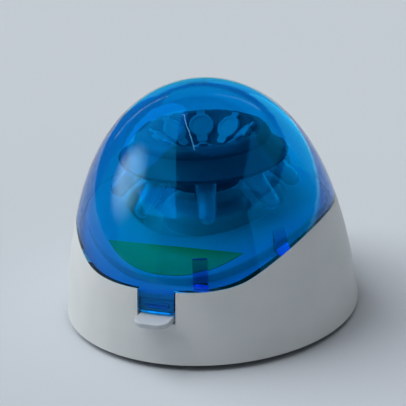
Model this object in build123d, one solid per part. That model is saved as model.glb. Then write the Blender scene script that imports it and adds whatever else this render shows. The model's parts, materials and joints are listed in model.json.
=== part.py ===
from build123d import *
from math import atan2, cos, degrees, exp, pi, radians, sin, sqrt, tan
import os

os.makedirs("parts", exist_ok=True)

# Driving sizes of the casing, in millimetres.
# Front is -Y, up is +Z, the origin is on the table under the middle of the box.
base_d = 155.0
bell_fullness = 63.5
crown_room = 24.9
foot_h = 3.0
shell_wall = 2.5
lid_wall = 2.2
parting_gap = 0.3
housing_out = 5.9
lip_out = 5.9

# The line where lid and base meet, seen from the side: low and flat in front,
# a toe arc, a straight slope, a crest arc, then flat to the back.
split_front_z = 39.2
split_rear_z = 59.0
split_slope = 30.0
toe_r = 30.0
toe_in = 0.6
crest_r = 100.8

# Inner deck and bowl
moat_w = 5.2
deck_rise = 1.7
deck_skin = 2.2
deck_round = 1.0
moat_floor_z = 36.5
moat_floor_t = 2.0
moat_fit = 0.3
gutter_drop = 2.3
gutter_fit = 0.6
ledge_w = 3.0
ledge_t = 3.0
deck_w = 22.0
bowl_slope_w = 6.0
bowl_depth = 11.0
bowl_over = 4.0
bowl_round = 2.0
dome_r = 23.5
dome_h = 13.0
dome_round = 9.0
dome_hole_r = 6.0
skin_t = 2.0
label_t = 0.4
label_gap = 3.0
label_edge = 0.4
label_r = 48.0

# Front latch
notch_half_w = 10.0
notch_bottom_z = 23.6
tongue_half_w = 9.3
tongue_bottom_z = 28.5
tongue_corner_r = 1.6
ledge_bump_z = 30.4
ledge_bump_h = 1.8
ledge_bump_d = 1.6
ledge_bump_half_w = 6.0
lip_half_w = 9.1
lip_t = 2.3
lip_step = 1.4
lip_corner_r = 5.5
lip_round = 0.7
slide_half_w = 7.6
slide_len = 11.0
hook_half_w = 9.0
slide_gap = 0.3
latch_travel = 4.0
hook_t = 2.2
hook_h = 6.8
hook_slant = 1.2
pad_half_w = 4.5
pad_t = 2.0
tray_t = 2.2
tray_half_w = 9.8
rail_in_x = 7.9
keeper_in_x = 6.4
keeper_h = 2.0
guide_screw_x = 13.2
guide_screw_y = 3.5
shelf_t = 2.5
shelf_rib_x = 7.0
shelf_rib_t = 2.0
shelf_rib_h = 6.5
spring_wire_r = 0.3
spring_coil_r = 1.9
spring_turns = 7
spring_len = 8.0
spring_seat_rim = 0.4

# Lid hinge
hinge_out = 4.4
hinge_z = 60.0
hinge_pin_r = 1.5
pin_running = 0.05
pin_tight = 0.02
knuckle_r = 4.0
knuckle_in_x = 9.0
knuckle_out_x = 17.6
ear_gap = 0.4
ear_t = 6.0
ear_r = 5.5
lid_swing = 80.0
heel_t = 3.0
lug_w = 7.0
lug_gap = 1.9
lug_top_z = 54.0
side_lug_gap = 1.2
side_lug_h = 10.0
lug_angle = 17.8
side_lug_angle = 54.0

# Rear housing with the power entry
housing_half_w = 32.0
housing_top_z = 52.0
housing_corner_r = 8.0
housing_round = 4.0
housing_root_y = 40.0
panel_round = 3.0
panel_depth = 3.0
panel_half_w = 27.0
panel_z0 = 9.0
panel_z1 = 36.0
jack_x = 16.0
jack_z = 21.0
jack_w = 11.0
jack_h = 12.0
jack_depth = 14.0
jack_bore_depth = 9.0
jack_bore_r = 2.85
jack_nose_r = 4.4
jack_pin_r = 1.0
switch_x = -16.0
switch_z = 22.0
switch_w = 12.6
switch_h = 18.6
switch_depth = 16.0
bezel_rim = 1.3
bezel_t = 1.6
rocker_half_w = 5.1
rocker_half_h = 7.3
rocker_rest = 7.0
rocker_axis_in = 1.0
rocker_tip = 2.9
rocker_dip = 1.9
rocker_back = 2.2
rocker_slant = 1.2
trunnion_r = 1.2
trunnion_out = 0.7

# Bottom cover, feet and screws
cover_t = 2.5
cover_fit = 0.3
foot_r = 8.0
foot_inset = 17.5
foot_sink = 1.0
boss_r = 4.0
boss_inset = 2.8
boss_angle = 17.0
boss_top_z = 26.0
boss_roof = 6.0
screw_r = 1.5
screw_head_r = 2.8
screw_head_h = 1.8
screw_free = 0.1
vent_w = 2.4
vent_len = 24.0
vent_pitch = 6.0
vent_count = 9
vent_rows = (-38.0, 0.0)
deck_screw_angles = (-150.0, -30.0, 40.0, 140.0)

# Motor and its rubber mounting
motor_r = 18.3
motor_top_z = 55.0
motor_bottom_z = 14.0
motor_skin = 1.2
cup_t = 1.5
cup_fit = 0.3
cup_rim_z = 36.0
cup_rim_r = 31.5
damper_ring_r = 26.5
damper_r = 5.0
damper_neck_r = 3.0
damper_h = 6.5
shaft_r = 1.6
bush_r = 3.5
armature_r = 13.9
magnet_t = 2.7
magnet_span = 130.0
nose_r = 5.5
nose_h = 2.6
nose_depth = 4.5
motor_screw_ring_r = 11.5
end_cap_t = 4.0
spigot_h = 1.6
terminal_x = 11.0
terminal_w = 3.8
terminal_t = 0.7
slot_count = 5
slot_w = 2.2
slot_depth = 6.0
commutator_r = 4.2

# Control board
board_w = 56.0
board_d = 30.0
board_gap = 1.9
board_t = 1.6
post_h = 6.5
post_r = 3.0
post_inset = 4.0
capacitor_x = -12.0
capacitor_y = 11.0
capacitor_r = 5.0
capacitor_h = 14.0
sink_x = 4.0
sink_y = 22.0
sink_w = 16.0
sink_t = 1.6
sink_h = 15.0
sink_fins = 5
fin_t = 1.2
fin_len = 5.0
header_places = (-4.0, 8.0)
header_w = 9.0
header_d = 6.0
header_h = 7.0
header_wall = 1.0

# Interlock pin and switch
interlock_pin_r = 1.5
interlock_rise = 2.0
interlock_collar_r = 2.4
interlock_side_gap = 0.4
interlock_body_h = 6.5
interlock_body_w = 12.8
interlock_body_t = 6.0

# Rotor with eight tubes leaning out at 45 degrees
tube_count = 8
tube_lean = 45.0
tube_seat_r = 21.5
tube_len = 37.0
tube_body_r = 5.4
tube_wall = 1.0
tube_tip_r = 4.2
tube_straight = 14.0
tube_flange_r = 6.3
tube_flange_t = 1.2
cap_r = 6.5
cap_t = 1.8
cap_round = 0.5
cap_plug_h = 3.0
cap_plug_t = 1.0
cap_plug_fit = 0.05
cap_dish_r = 4.9
cap_dish_d = 0.25
cap_tab_reach = 9.8
cap_tab_w = 5.6
cap_tab_t = 1.1
cap_tab_round = 1.8
cap_strap_reach = 9.0
cap_strap_w = 4.4
cap_strap_t = 0.9
cap_strap_round = 1.2
tube_fit = 0.3
hub_gap = 8.0
seat_h = 21.9
rim_h = 6.6
brim_drop = 12.2
rotor_rim_r = 31.0
rotor_waist_r = 34.6
waist_drop = 4.9
shoulder_out = 3.0
shoulder_drop = 1.6
flare_sag = 0.6
rotor_brim_r = 43.2
rotor_brim_t = 2.3
rotor_brim_round = 1.2
rotor_hub_r = 18.0
well_floor_r = 14.0
holder_t = 12.0
collet_r = 4.0
nut_r = 5.0
nut_h = 4.5

# Worked-out sizes used by several pieces. Cutting bodies reach past everything.
cut = 200.0


def to_tenth(size):
    """A worked-out size as it stands on the drawing."""
    return round(size, 1)


# The stack of heights from the bowl up to the crown of the lid
bowl_floor_z = split_rear_z - bowl_depth
dome_top_z = bowl_floor_z + dome_h
rotor_hub_z = dome_top_z + hub_gap
tube_seat_z = rotor_hub_z + seat_h
rotor_rim_z = tube_seat_z + rim_h
rotor_brim_z = rotor_rim_z - brim_drop
total_h = to_tenth(rotor_rim_z + crown_room)
bell_r = 0.5 * base_d / sqrt(1.0 - exp(-(total_h - foot_h) / bell_fullness))


def radius_at(z, inset=0.0):
    """Radius of the bell at a height, or of the bell drawn in by inset."""
    depth = total_h - inset - z
    return (bell_r - inset) * sqrt(1.0 - exp(-depth / bell_fullness))


slope_lean = radians(split_slope)
slope_rise = split_rear_z - split_front_z - (toe_r + crest_r) * (1 - cos(slope_lean))
toe_y = to_tenth(toe_in - radius_at(split_front_z))
crest_y = to_tenth(toe_y + (toe_r + crest_r) * sin(slope_lean) + slope_rise / tan(slope_lean))
cover_top_z = foot_h + cover_t
moat_under_z = moat_floor_z - moat_floor_t
ledge_in_r = radius_at(moat_under_z, shell_wall) - ledge_w
deck_r = to_tenth(ledge_in_r - moat_w)
bowl_rim_r = deck_r - deck_w
bowl_floor_r = bowl_rim_r - bowl_slope_w
deck_screw_ring_r = deck_r - deck_skin - 0.6 * boss_r
lug_face_r = deck_r + lug_gap
side_lug_face_r = deck_r + side_lug_gap
boss_ring_r = to_tenth(radius_at(boss_top_z, shell_wall) - boss_inset)
foot_ring_r = base_d / 2 - foot_inset
rear_reach = base_d / 2 + housing_out
panel_y = rear_reach - panel_depth
panel_in_y = panel_y - shell_wall
board_y1 = panel_in_y - jack_depth - board_gap
board_y0 = board_y1 - board_d
lip_reach = base_d / 2 + lip_out
lip_top_z = notch_bottom_z + lip_step + lip_t
tray_top_z = lip_top_z - lip_t - slide_gap
shelf_top_z = tray_top_z - tray_t
post_top_z = cover_top_z + post_h
board_top_z = post_top_z + board_t
hinge_y = to_tenth(radius_at(hinge_z) + hinge_out)
knuckle_half_gap = ear_gap + knuckle_out_x
well_z = well_floor_r + tube_seat_z - tube_seat_r


def bell(inset=0.0, stations=14):
    """Solid bell of the casing: a crown that runs down into steep sides."""
    top = total_h - inset
    points = []
    for step in range(stations + 1):
        z = top * (1.0 - (step / stations) ** 2)
        points.append((radius_at(z, inset), 0, z))
    side = Spline(points, tangents=[(1, 0, 0), (points[-1][0] - points[-2][0], 0, -points[-2][2])])
    foot = Line(points[-1], (0, 0, 0))
    axis = Line((0, 0, 0), points[0])
    return revolve(make_face([side, foot, axis]), Axis.Z)


def below_split(raise_by=0.0):
    """Everything under the line where lid and base meet, lifted by raise_by."""
    lean = slope_lean
    low = split_front_z + raise_by
    high = split_rear_z + raise_by
    crest_end = (crest_y - crest_r * sin(lean), high - crest_r * (1 - cos(lean)))
    crest_mid = (crest_y - crest_r * sin(lean / 2), high - crest_r * (1 - cos(lean / 2)))
    toe_end_z = low + toe_r * (1 - cos(lean))
    toe_end_y = crest_end[0] - (crest_end[1] - toe_end_z) / tan(lean)
    toe_start_y = toe_end_y - toe_r * sin(lean)
    toe_mid = (toe_start_y + toe_r * sin(lean / 2), low + toe_r * (1 - cos(lean / 2)))
    edges = [
        Line((0, -cut, -cut), (0, -cut, low)),
        Line((0, -cut, low), (0, toe_start_y, low)),
        ThreePointArc((0, toe_start_y, low), (0, *toe_mid), (0, toe_end_y, toe_end_z)),
        Line((0, toe_end_y, toe_end_z), (0, *crest_end)),
        ThreePointArc((0, *crest_end), (0, *crest_mid), (0, crest_y, high)),
        Line((0, crest_y, high), (0, cut, high)),
        Line((0, cut, high), (0, cut, -cut)),
        Line((0, cut, -cut), (0, -cut, -cut)),
    ]
    return extrude(make_face(edges), amount=cut, dir=(1, 0, 0), both=True)


def block(x0, x1, y0, y1, z0, z1):
    """Box from its low and high corners."""
    return Pos((x0 + x1) / 2, (y0 + y1) / 2, (z0 + z1) / 2) * Box(x1 - x0, y1 - y0, z1 - z0)


def post(x, y, z0, z1, r):
    """Upright cylinder."""
    return Pos(x, y, (z0 + z1) / 2) * Cylinder(r, z1 - z0)


def bar_x(y, z, x0, x1, r):
    """Cylinder that lies along X."""
    return Pos((x0 + x1) / 2, y, z) * Rot(0, 90, 0) * Cylinder(r, x1 - x0)


def bar_y(x, z, y0, y1, r):
    """Cylinder that lies along Y."""
    return Pos(x, (y0 + y1) / 2, z) * Rot(90, 0, 0) * Cylinder(r, y1 - y0)


def ring(z0, z1, r_in, r_out):
    """Flat ring about the upright axis."""
    return post(0, 0, z0, z1, r_out) - post(0, 0, z0 - 1, z1 + 1, r_in)


def turned(points):
    """Solid of revolution from (radius, height) corners."""
    return revolve(make_face(Polyline([(r, 0, z) for r, z in points], close=True)), Axis.Z)


def around(radius, angles):
    """Places on a circle, each as (x, y), with angles from +X."""
    return [(radius * cos(radians(a)), radius * sin(radians(a))) for a in angles]


def from_front(radius, angle):
    """Place on a circle, with the angle counted from the front towards +X."""
    return radius * sin(radians(angle)), -radius * cos(radians(angle))


def interlock_place():
    """Where the interlock pin stands, clear of the shell's ledge."""
    return from_front(ledge_in_r - interlock_collar_r - interlock_side_gap, lug_angle)


def feet_places():
    return around(foot_ring_r, (45, 135, 225, 315))


def boss_places():
    return around(boss_ring_r, (boss_angle, 180 - boss_angle, 180 + boss_angle, -boss_angle))


def deck_screw_places():
    return around(deck_screw_ring_r, deck_screw_angles)


def damper_places():
    return around(damper_ring_r, (90, 210, 330))


def motor_screw_places():
    return around(motor_screw_ring_r, (0, 180))


def board_post_places():
    xs = (-board_w / 2 + post_inset, board_w / 2 - post_inset)
    ys = (board_y0 + post_inset, board_y1 - post_inset)
    return [(x, y) for x in xs for y in ys]


def pan_screw(x, y, head_z0, tip_z):
    """Screw whose head is at head_z0 and whose shank rises to tip_z."""
    shank = post(x, y, head_z0 + screw_head_h, tip_z, screw_r)
    head = post(x, y, head_z0, head_z0 + screw_head_h, screw_head_r)
    recess = Pos(x, y, head_z0 + 0.4) * (Box(3.6, 0.8, 0.9) + Box(0.8, 3.6, 0.9))
    return head + shank - recess


def housing_box(inset):
    """Block at the back that carries the power entry, drawn in by inset."""
    half = housing_half_w - inset
    body = block(-half, half, housing_root_y, rear_reach - inset, -1, housing_top_z - inset)
    corners = body.edges().filter_by(Axis.Z).group_by(Axis.Y)[-1]
    body = fillet(corners, housing_corner_r - inset)
    top = body.faces().sort_by(Axis.Z)[-1].edges()
    return fillet(top.filter_by(lambda e: e.center().Y > housing_root_y + 1), housing_round - 0.5 * inset)


def panel_recess():
    """Shallow pocket in the back of the housing round jack and switch."""
    body = block(-panel_half_w, panel_half_w, panel_y, cut, panel_z0, panel_z1)
    return fillet(body.edges().filter_by(Axis.Y), panel_round)


def hinge_ears():
    """Two ears on the housing that hold the hinge pin."""
    ears = []
    for side in (-1, 1):
        x0, x1 = sorted((side * knuckle_half_gap, side * (knuckle_half_gap + ear_t)))
        stem = block(x0, x1, hinge_y - ear_r + 1.0, hinge_y + ear_r, housing_top_z - 6, hinge_z)
        ears.append(stem + bar_x(hinge_y, hinge_z, x0, x1, ear_r))
    return ears


def base_shell():
    outer = bell() & below_split() & block(-cut, cut, -cut, cut, foot_h, cut)
    housing = housing_box(0) & block(-cut, cut, -cut, cut, foot_h, cut)
    solid = outer + housing
    for ear in hinge_ears():
        solid += ear & block(-cut, cut, radius_at(split_rear_z) - 1.2, cut, 0, cut)
    hollow = bell(shell_wall)
    back = housing_box(shell_wall) - block(-cut, cut, panel_in_y, cut, 0, cut)
    shell = solid - hollow - back
    wall_in = bell(shell_wall * 0.5)
    ledge_top = moat_under_z
    ledge = ring(ledge_top - ledge_t, ledge_top, radius_at(ledge_top, shell_wall) - ledge_w, base_d / 2)
    ledge = ledge & wall_in
    for x, y in deck_screw_places():
        arm = Rot(0, 0, degrees(atan2(y, x))) * block(
            deck_screw_ring_r, base_d / 2, -boss_r, boss_r, ledge_top - ledge_t, ledge_top
        )
        ledge += (arm + post(x, y, ledge_top - ledge_t, ledge_top, boss_r)) & wall_in
    shell += ledge
    for x, y in boss_places():
        rib = Rot(0, 0, degrees(atan2(y, x))) * block(
            boss_ring_r, base_d / 2, -1.0, 1.0, cover_top_z, boss_top_z
        )
        shell += (post(x, y, cover_top_z, boss_top_z, boss_r) + rib) & wall_in
        shell -= post(x, y, cover_top_z - 1, boss_top_z - boss_roof, screw_r + screw_free)
    shelf_x = guide_screw_x + boss_r
    shelf_y1 = latch_back_y() - tray_t
    shelf_z0 = shelf_top_z - shelf_t
    shelf = block(-shelf_x, shelf_x, -base_d / 2, shelf_y1, shelf_z0, shelf_top_z)
    for x in (-shelf_rib_x, shelf_rib_x):
        half = shelf_rib_t / 2
        shelf += block(x - half, x + half, -base_d / 2, shelf_y1, shelf_z0 - shelf_rib_h, shelf_z0)
    shell += shelf & wall_in
    for x, y in guide_screw_places():
        shell -= post(x, y, shelf_z0 - 1, shelf_top_z + 1, screw_r + screw_free)
    for x, y in deck_screw_places():
        shell -= post(x, y, ledge_top - ledge_t - 1, ledge_top + 1, screw_r + screw_free)
    shell -= block(-notch_half_w, notch_half_w, -cut, -radius_at(ledge_top) + 9, notch_bottom_z, cut)
    shell -= panel_recess()
    half_w = switch_w / 2 + screw_free
    half_h = switch_h / 2 + screw_free
    shell -= block(
        switch_x - half_w, switch_x + half_w, panel_in_y - 1, cut, switch_z - half_h, switch_z + half_h
    )
    shell -= bar_y(jack_x, jack_z, panel_in_y - 1, cut, jack_nose_r + screw_free)
    shell -= bar_x(hinge_y, hinge_z, -cut, cut, hinge_pin_r + pin_tight)
    return shell


def inner_wall_y(z):
    """Where the inside of the front wall lies at a height."""
    return -radius_at(z, shell_wall)


def hook_front_y():
    """Front face of the latch hook, clear of the tongue's bump."""
    tongue_in = -radius_at(ledge_bump_z, lid_wall)
    return tongue_in + ledge_bump_d + slide_gap


def latch_tail_y():
    """Back face of the latch slider at rest."""
    return hook_front_y() + slide_len


def latch_back_y():
    """Front face of the guide's back wall, which the spring pushes on."""
    return latch_tail_y() + spring_len


def guide_screw_places():
    return [(x, latch_tail_y() + guide_screw_y) for x in (-guide_screw_x, guide_screw_x)]


def latch_slider():
    """Push tab with its hook: the lip outside, the slide and hook inside."""
    z0 = lip_top_z - lip_t
    front = block(-lip_half_w, lip_half_w, -lip_reach, hook_front_y(), z0, lip_top_z)
    corners = front.edges().filter_by(Axis.Z).group_by(Axis.Y)[0]
    front = fillet(corners, lip_corner_r)
    rims = front.faces().sort_by(Axis.Z)[-1].edges()
    front = fillet(rims.filter_by(lambda e: e.center().Y < hook_front_y() - lip_corner_r), lip_round)
    slide = block(-slide_half_w, slide_half_w, hook_front_y() - 1, latch_tail_y(), z0, lip_top_z)
    hook = block(
        -hook_half_w, hook_half_w, hook_front_y(), hook_front_y() + hook_t, z0, lip_top_z + hook_h
    )
    hook = chamfer(hook.edges().filter_by(Axis.X).group_by(Axis.Z)[-1].sort_by(Axis.Y)[0], hook_slant)
    pad_top_z = spring_z() + spring_coil_r + spring_wire_r + spring_seat_rim
    pad = block(-pad_half_w, pad_half_w, latch_tail_y() - pad_t, latch_tail_y(), z0, pad_top_z)
    peg_r = spring_coil_r - spring_wire_r - slide_gap
    peg = bar_y(0, spring_z(), latch_tail_y() - 1, latch_tail_y() + hook_t, peg_r)
    return front + slide + hook + pad + peg


def spring_z():
    """Height of the latch spring's axis."""
    return tray_top_z + spring_coil_r + spring_wire_r + spring_seat_rim


def latch_guide():
    """Tray that the latch slides in, screwed on the shelf of the front wall."""
    y0 = inner_wall_y(shelf_top_z) + 4 * slide_gap
    y1 = latch_back_y() + tray_t
    rail_y0 = hook_front_y() + hook_t + latch_travel + slide_gap
    rail_top_z = lip_top_z + keeper_h
    ear_out_x = guide_screw_x + screw_head_r + slide_gap
    tray = block(-tray_half_w, tray_half_w, y0, y1, shelf_top_z, tray_top_z)
    for side in (-1, 1):
        x0, x1 = sorted((side * rail_in_x, side * tray_half_w))
        tray += block(x0, x1, rail_y0, y1, shelf_top_z, rail_top_z)
        x0, x1 = sorted((side * keeper_in_x, side * tray_half_w))
        tray += block(x0, x1, rail_y0, latch_tail_y(), lip_top_z + slide_gap, rail_top_z)
        x0, x1 = sorted((side * (tray_half_w - 1), side * ear_out_x))
        tray += block(x0, x1, latch_tail_y(), latch_tail_y() + 2 * guide_screw_y, shelf_top_z, tray_top_z)
    back_top_z = spring_z() + spring_coil_r + spring_wire_r + 1
    tray += block(-tray_half_w, tray_half_w, latch_back_y(), y1, shelf_top_z, back_top_z)
    for x, y in guide_screw_places():
        tray -= post(x, y, shelf_top_z - 1, tray_top_z + 1, screw_r + screw_free)
    return tray


def guide_screws():
    """Screws that come down through the guide into the shelf."""
    screws = []
    for x, y in guide_screw_places():
        head = post(x, y, tray_top_z, tray_top_z + screw_head_h, screw_head_r)
        shank = post(x, y, shelf_top_z - shelf_t, tray_top_z, screw_r)
        recess = Pos(x, y, tray_top_z + screw_head_h) * (Box(3.6, 0.8, 1.0) + Box(0.8, 3.6, 1.0))
        screws.append(head + shank - recess)
    return Compound(children=screws)


def latch_spring():
    """Compression spring between the slider and the guide's back wall."""
    coil_len = spring_len - 2 * spring_wire_r - 0.1
    start_y = latch_tail_y() + spring_wire_r + 0.05
    path = Helix(
        pitch=coil_len / spring_turns, height=coil_len, radius=spring_coil_r,
        center=(0, start_y, spring_z()), direction=(0, 1, 0),
    )
    section = Plane(origin=path @ 0, z_dir=path % 0) * Circle(spring_wire_r)
    return sweep(section, path=path, is_frenet=True)


def on_skirt(edge):
    """True for an edge whose middle lies on the deck's round outside."""
    middle = edge @ 0.5
    return abs(sqrt(middle.X ** 2 + middle.Y ** 2) - deck_r) < 0.01


def on_bowl_rim(edge):
    """True for an edge where the deck's top runs over into the bowl."""
    middle = edge @ 0.5
    reach = sqrt(middle.X ** 2 + middle.Y ** 2)
    return bowl_floor_r + 0.5 < reach < bowl_rim_r + skin_t and middle.Z > bowl_floor_z + 1


def round_topped(z0, z1, r, corner_r):
    """Upright post whose top edge is rounded."""
    body = post(0, 0, z0, z1, r)
    return fillet(body.faces().sort_by(Axis.Z)[-1].edges(), corner_r)


def chamber_deck():
    """White inner deck: sloped top, skirt, moat floor, gutter along the rim, bowl and motor dome."""
    top = below_split(deck_rise)
    under = below_split(deck_rise - deck_skin)
    skirt_in = deck_r - deck_skin
    plug = post(0, 0, moat_under_z, cut, deck_r) & top
    rim = [e for e in plug.edges() if e.center().Z > split_front_z and on_skirt(e)]
    plug = fillet(rim, deck_round)
    bowl_top_z = split_rear_z + bowl_over
    bowl_top_r = bowl_floor_r + bowl_slope_w * (bowl_depth + bowl_over) / bowl_depth
    bowl_outside = turned([
        (0, 0), (bowl_floor_r + skin_t, 0), (bowl_floor_r + skin_t, bowl_floor_z - skin_t),
        (bowl_top_r + skin_t, bowl_top_z), (0, bowl_top_z),
    ])
    deck = plug - ((post(0, 0, 0, cut, skirt_in) & under) - bowl_outside)
    floor_out = radius_at(moat_floor_z, shell_wall) - moat_fit
    deck += ring(moat_under_z, moat_floor_z, skirt_in, floor_out)
    gutter = below_split(-gutter_drop) - below_split(-gutter_drop - moat_floor_t)
    gutter = gutter & bell(shell_wall + gutter_fit) & block(-cut, cut, -cut, cut, moat_floor_z - 1, cut)
    deck += gutter - post(0, 0, 0, cut, deck_r - deck_skin / 2)
    deck -= turned([
        (0, bowl_floor_z), (bowl_floor_r, bowl_floor_z), (bowl_top_r, bowl_top_z), (0, bowl_top_z),
    ])
    deck -= turned([
        (0, 0), (bowl_rim_r + skin_t, 0), (bowl_rim_r + skin_t, bowl_floor_z - skin_t),
        (bowl_floor_r, bowl_floor_z - skin_t), (0, bowl_floor_z - skin_t),
    ])
    rim = [e for e in deck.edges() if on_bowl_rim(e)]
    deck = fillet(rim, bowl_round)
    deck += round_topped(bowl_floor_z - skin_t, dome_top_z, dome_r, dome_round)
    deck -= round_topped(0, dome_top_z - skin_t, dome_r - skin_t, dome_round - skin_t)
    deck -= post(0, 0, 0, cut, dome_hole_r)
    boss_z = cup_rim_z + cup_t + (damper_h - cup_t) / 2
    for x, y in damper_places():
        deck += post(x, y, boss_z, bowl_floor_z - skin_t, boss_r)
        deck -= post(x, y, boss_z - 1, bowl_floor_z - skin_t - 0.8, screw_r + screw_free)
    for x, y in deck_screw_places():
        deck += post(x, y, moat_under_z, split_front_z + 3, boss_r) & post(0, 0, 0, cut, deck_r - 0.5)
        deck -= post(x, y, moat_under_z - 1, split_front_z + 1, screw_r + screw_free)
    px, py = interlock_place()
    deck -= post(px, py, moat_under_z - 1, split_front_z + 1, interlock_pin_r + pin_running)
    for side in (-1, 1):
        deck += switch_leg(side)
    bump_room_x = ledge_bump_half_w + slide_gap
    deck -= block(-bump_room_x, bump_room_x, -cut, bump_face_y() + slide_gap, 0, moat_floor_z + 1)
    return deck


def interlock_frame(part):
    """Puts a piece drawn at the origin on the interlock's place and heading."""
    px, py = interlock_place()
    return Pos(px, py, 0) * Rot(0, 0, lug_angle) * part


def switch_z0():
    """Underside of the interlock switch."""
    return switch_top_z() - interlock_body_h


def switch_top_z():
    return moat_under_z - interlock_rise - 1.2 - 0.6


def switch_leg(side):
    """Leg under the moat floor that one side of the interlock switch is stuck to."""
    x0, x1 = sorted((side * interlock_body_w / 2, side * (interlock_body_w / 2 + 1.8)))
    leg = block(x0, x1, -interlock_body_t / 2 + 1.2, interlock_body_t / 2, switch_z0(), moat_floor_z - 1)
    return interlock_frame(leg)


def interlock_switch():
    half = interlock_body_t / 2
    wide = interlock_body_w / 2
    body_top = switch_top_z() - 0.9
    body = block(-wide, wide, -half + 1.2, half, switch_z0(), body_top)
    button = block(-1.3, 1.3, -1.0, 1.2, body_top, switch_top_z())
    part = body + button
    for x in (-4.2, 4.2):
        part += block(x - 0.4, x + 0.4, -0.3, 0.3, switch_z0() - 1.4, switch_z0())
    return interlock_frame(part)


def interlock_pin():
    """Pin in the moat that the lid's lug holds down while the lid is shut."""
    z0 = switch_top_z() + 0.3
    stem = post(0, 0, z0, split_front_z, interlock_pin_r)
    collar = post(0, 0, z0, z0 + 1.2, interlock_collar_r)
    stem = chamfer(stem.faces().sort_by(Axis.Z)[-1].edges(), 0.4)
    return interlock_frame(stem + collar)


def label_plate():
    """Bare half-moon plate on the slope of the deck."""
    chord_y = -(bowl_rim_r + skin_t + label_gap)
    middle_y = label_r - (deck_r - deck_round - label_edge)
    moon = post(0, middle_y, 0, cut, label_r) & block(-cut, cut, -cut, chord_y, 0, cut)
    return (moon & below_split(deck_rise + label_t)) - below_split(deck_rise)


def bottom_cover():
    """Dark plate that closes the base from below, with its vents and posts."""
    side = radius_at(cover_top_z, shell_wall) - cover_fit
    plate = post(0, 0, foot_h, cover_top_z, side)
    rear = block(
        -housing_half_w + shell_wall + cover_fit, housing_half_w - shell_wall - cover_fit,
        housing_root_y, panel_in_y - cover_fit, foot_h, cover_top_z,
    )
    rear = fillet(rear.edges().filter_by(Axis.Z).group_by(Axis.Y)[-1], housing_corner_r - shell_wall)
    plate += rear
    for x, y in feet_places():
        plate -= post(x, y, 0, foot_h + foot_sink, foot_r + 0.1)
    for x, y in boss_places():
        plate -= post(x, y, 0, cut, screw_r + 0.2)
        plate -= post(x, y, 0, foot_h + 0.5, screw_head_r + 0.3)
    for step in range(vent_count):
        x = (step - (vent_count - 1) / 2) * vent_pitch
        for y in vent_rows:
            plate -= Pos(x, y, foot_h) * extrude(SlotOverall(vent_len, vent_w, rotation=90), 10, both=True)
    for x, y in board_post_places():
        plate += post(x, y, cover_top_z, post_top_z, post_r)
        plate -= post(x, y, foot_h + 1, post_top_z + 1, screw_r - 0.4)
    return plate


def rubber_feet():
    feet = []
    for x, y in feet_places():
        foot = post(x, y, 0, foot_h + foot_sink, foot_r)
        foot = fillet(foot.faces().sort_by(Axis.Z)[0].edges(), 0.8)
        foot -= post(x, y, -1, 0.8, foot_r - 3.5)
        feet.append(foot)
    return Compound(children=feet)


def cover_screws():
    places = boss_places()
    head_z = foot_h + 0.5 - screw_head_h
    return Compound(children=[pan_screw(x, y, head_z, boss_top_z - 8) for x, y in places])


def deck_screws():
    head_z = moat_under_z - ledge_t - screw_head_h
    return Compound(children=[pan_screw(x, y, head_z, split_front_z) for x, y in deck_screw_places()])


def motor_cup():
    """Deep-drawn steel cup that hangs the motor in its rubber dampers."""
    inner = motor_r + cup_fit
    outer = inner + cup_t
    cup = turned([
        (nose_r + cup_fit, motor_top_z), (inner, motor_top_z), (inner, cup_rim_z), (cup_rim_r, cup_rim_z),
        (cup_rim_r, cup_rim_z + cup_t), (outer, cup_rim_z + cup_t), (outer, motor_top_z + cup_t - 1),
        (outer - 1, motor_top_z + cup_t), (nose_r + cup_fit, motor_top_z + cup_t),
    ])
    for x, y in damper_places():
        cup -= post(x, y, cup_rim_z - 1, cup_rim_z + cup_t + 1, damper_neck_r)
    for x, y in motor_screw_places():
        cup -= post(x, y, motor_top_z - 1, motor_top_z + cup_t + 1, screw_r + screw_free)
    return cup


def motor_can():
    """Steel can of the motor, with its nose for the upper bush."""
    inner = motor_r - motor_skin
    can = turned([
        (bush_r + pin_tight, motor_top_z - nose_depth), (nose_r, motor_top_z - nose_depth),
        (nose_r, motor_top_z - motor_skin), (inner, motor_top_z - motor_skin), (inner, motor_bottom_z),
        (motor_r, motor_bottom_z), (motor_r, motor_top_z), (nose_r, motor_top_z),
        (nose_r, motor_top_z + nose_h), (bush_r + pin_tight, motor_top_z + nose_h),
    ])
    for x, y in motor_screw_places():
        can -= post(x, y, motor_top_z - motor_skin - 1, motor_top_z + 1, screw_r + pin_running)
    return can


def motor_magnets():
    inner = motor_r - motor_skin
    tube = ring(motor_bottom_z + 4, motor_top_z - 6, inner - magnet_t, inner)
    half = radians(magnet_span / 2)
    reach = 4 * motor_r
    corners = [
        (0, 0, 0), (reach * cos(half), -reach * sin(half), 0), (2 * reach, 0, 0),
        (reach * cos(half), reach * sin(half), 0),
    ]
    wedge = extrude(make_face(Polyline(corners, close=True)), amount=cut, dir=(0, 0, 1))
    return Compound(children=[tube & (Rot(0, 0, turn) * wedge) for turn in (0, 180)])


def motor_armature():
    """Slotted iron core with its commutator, turning inside the can."""
    z0 = motor_bottom_z + 6
    z1 = motor_top_z - 8
    core = post(0, 0, z0, z1, armature_r)
    for index in range(slot_count):
        slot = block(armature_r - slot_depth, motor_r, -slot_w / 2, slot_w / 2, z0 - 1, z1 + 1)
        core -= Rot(0, 0, index * 360.0 / slot_count) * slot
    core += post(0, 0, motor_bottom_z + 2.5, z0, commutator_r)
    return core - post(0, 0, 0, cut, shaft_r + pin_tight)


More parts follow.
